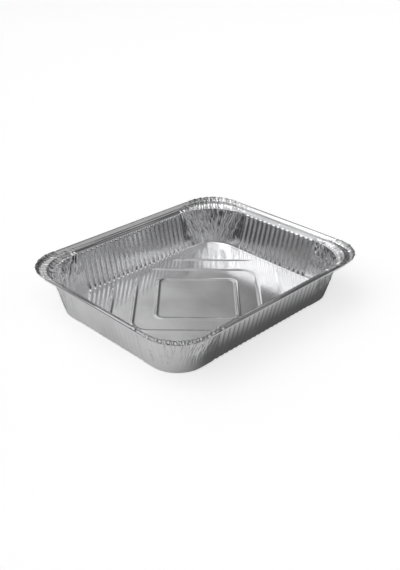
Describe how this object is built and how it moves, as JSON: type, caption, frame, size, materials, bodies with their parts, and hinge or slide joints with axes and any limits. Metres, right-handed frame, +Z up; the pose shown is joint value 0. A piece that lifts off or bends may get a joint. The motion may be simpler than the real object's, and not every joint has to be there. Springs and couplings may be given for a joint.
{
  "type": "foil tray",
  "caption": "Shallow rectangular foil tray with sloping fluted walls, a ribbed floor, a narrow ledge and a folded rim.",
  "frame": {"origin": "centre of the tray's flat underside, on the surface that it stands on", "axes": "+X along the tray's length, +Y along its width, +Z up out of its open top"},
  "size_m": [0.325, 0.265, 0.0573],
  "materials": {
    "foil": "bright rolled foil"
  },
  "bodies": {
    "root": {"tray": "foil"}
  },
  "joints": []
}
